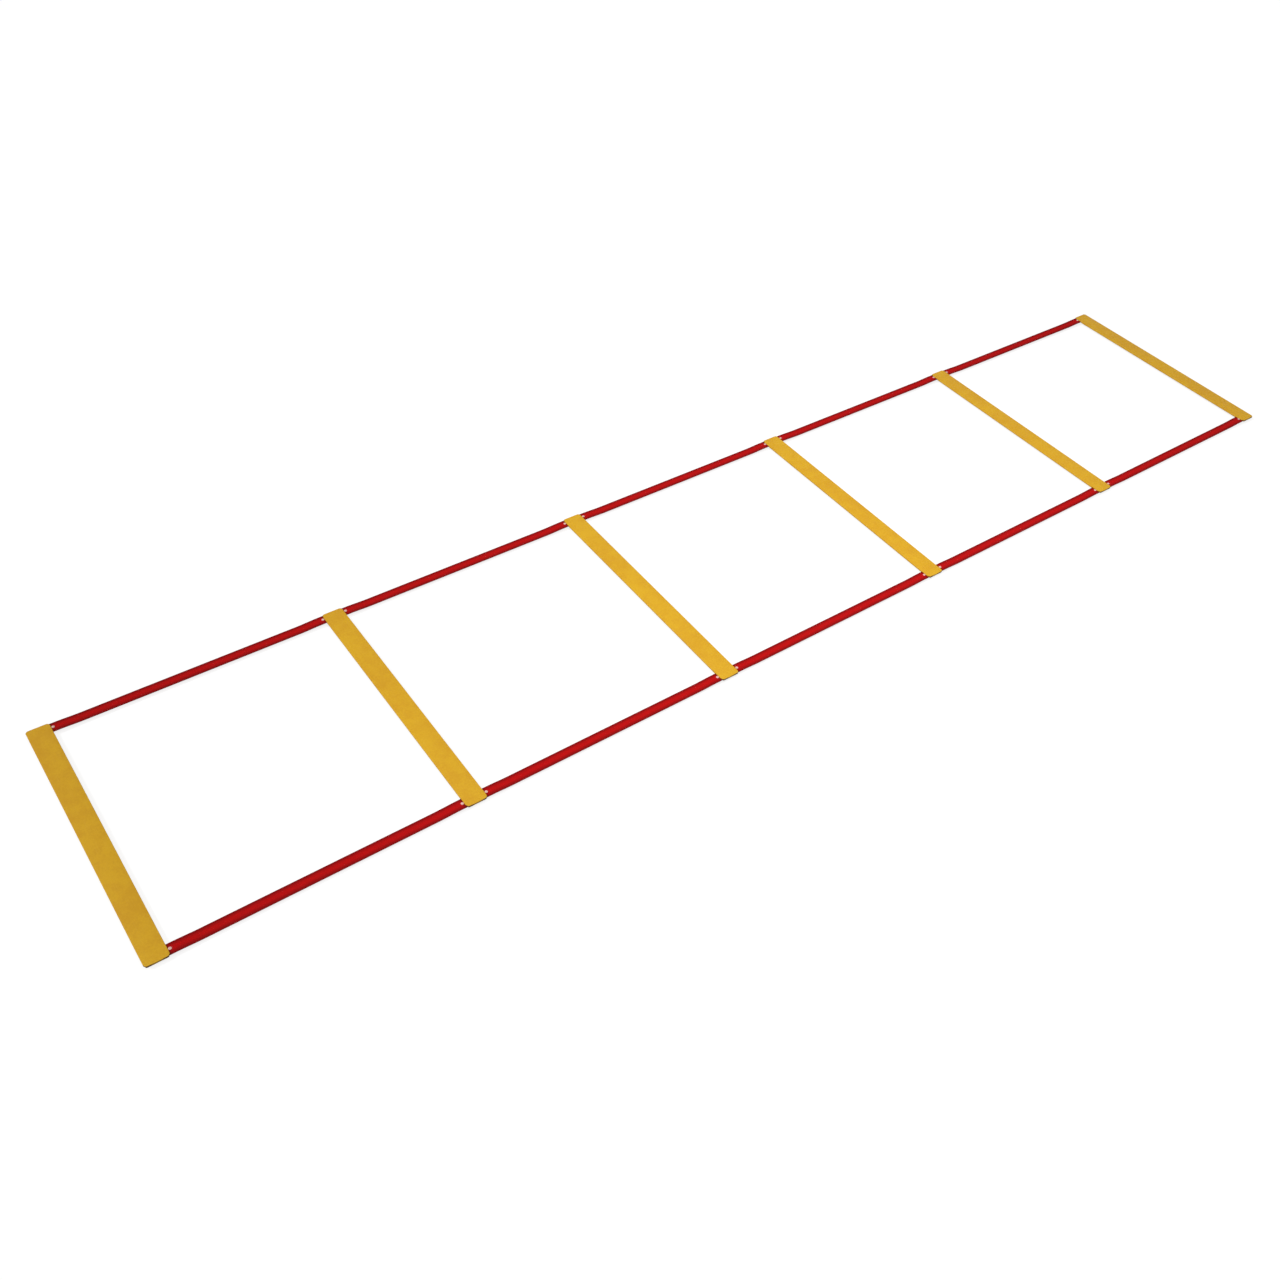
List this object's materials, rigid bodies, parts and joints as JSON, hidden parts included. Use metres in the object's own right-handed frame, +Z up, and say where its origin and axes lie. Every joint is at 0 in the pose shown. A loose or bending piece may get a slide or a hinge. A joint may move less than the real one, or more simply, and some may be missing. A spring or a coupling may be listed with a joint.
{
  "type": "agility ladder",
  "caption": "Flat agility ladder: flat plastic rungs with rounded corners across a pair of webbing side straps, kept in place by round stop rivets. Folds bay by bay into a stack.",
  "frame": {"origin": "on the ground under the middle of the ladder as it lies flat", "axes": "+X along the ladder from rung 1 to rung 6, +Y to its left side, +Z up"},
  "size_m": [2.537, 0.4916, 0.0035],
  "materials": {
    "rung": "matte, finely mottled ochre yellow",
    "strap": "woven red webbing with darker selvedges",
    "stop": "smooth off-white"
  },
  "bodies": {
    "section_1": {"rung_1": "rung", "strap_left_1": "strap", "strap_right_1": "strap", "stop_left_1_far": "stop", "stop_right_1_far": "stop"},
    "section_2": {"rung_2": "rung", "strap_left_2": "strap", "strap_right_2": "strap", "stop_left_2_near": "stop", "stop_left_2_far": "stop", "stop_right_2_near": "stop", "stop_right_2_far": "stop"},
    "section_3": {"rung_3": "rung", "strap_left_3": "strap", "strap_right_3": "strap", "stop_left_3_near": "stop", "stop_left_3_far": "stop", "stop_right_3_near": "stop", "stop_right_3_far": "stop"},
    "section_4": {"rung_4": "rung", "strap_left_4": "strap", "strap_right_4": "strap", "stop_left_4_near": "stop", "stop_left_4_far": "stop", "stop_right_4_near": "stop", "stop_right_4_far": "stop"},
    "section_5": {"rung_5": "rung", "strap_left_5": "strap", "strap_right_5": "strap", "stop_left_5_near": "stop", "stop_left_5_far": "stop", "stop_right_5_near": "stop", "stop_right_5_far": "stop"},
    "section_6": {"rung_6": "rung", "strap_left_6": "strap", "strap_right_6": "strap", "stop_left_6_near": "stop", "stop_right_6_near": "stop"}
  },
  "joints": [
    {"name": "bay_1_fold", "type": "hinge", "parent": "section_1", "child": "section_2", "pos_m": [-1, 0, 0.004], "axis": [0, -1, 0], "range_deg": [0, 180]},
    {"name": "bay_2_fold", "type": "hinge", "parent": "section_2", "child": "section_3", "pos_m": [-0.5, 0, -0.0005], "axis": [0, 1, 0], "range_deg": [0, 180]},
    {"name": "bay_3_fold", "type": "hinge", "parent": "section_3", "child": "section_4", "pos_m": [0, 0, 0.004], "axis": [0, -1, 0], "range_deg": [0, 180]},
    {"name": "bay_4_fold", "type": "hinge", "parent": "section_4", "child": "section_5", "pos_m": [0.5, 0, -0.0005], "axis": [0, 1, 0], "range_deg": [0, 180]},
    {"name": "bay_5_fold", "type": "hinge", "parent": "section_5", "child": "section_6", "pos_m": [1, 0, 0.004], "axis": [0, -1, 0], "range_deg": [0, 180]}
  ]
}
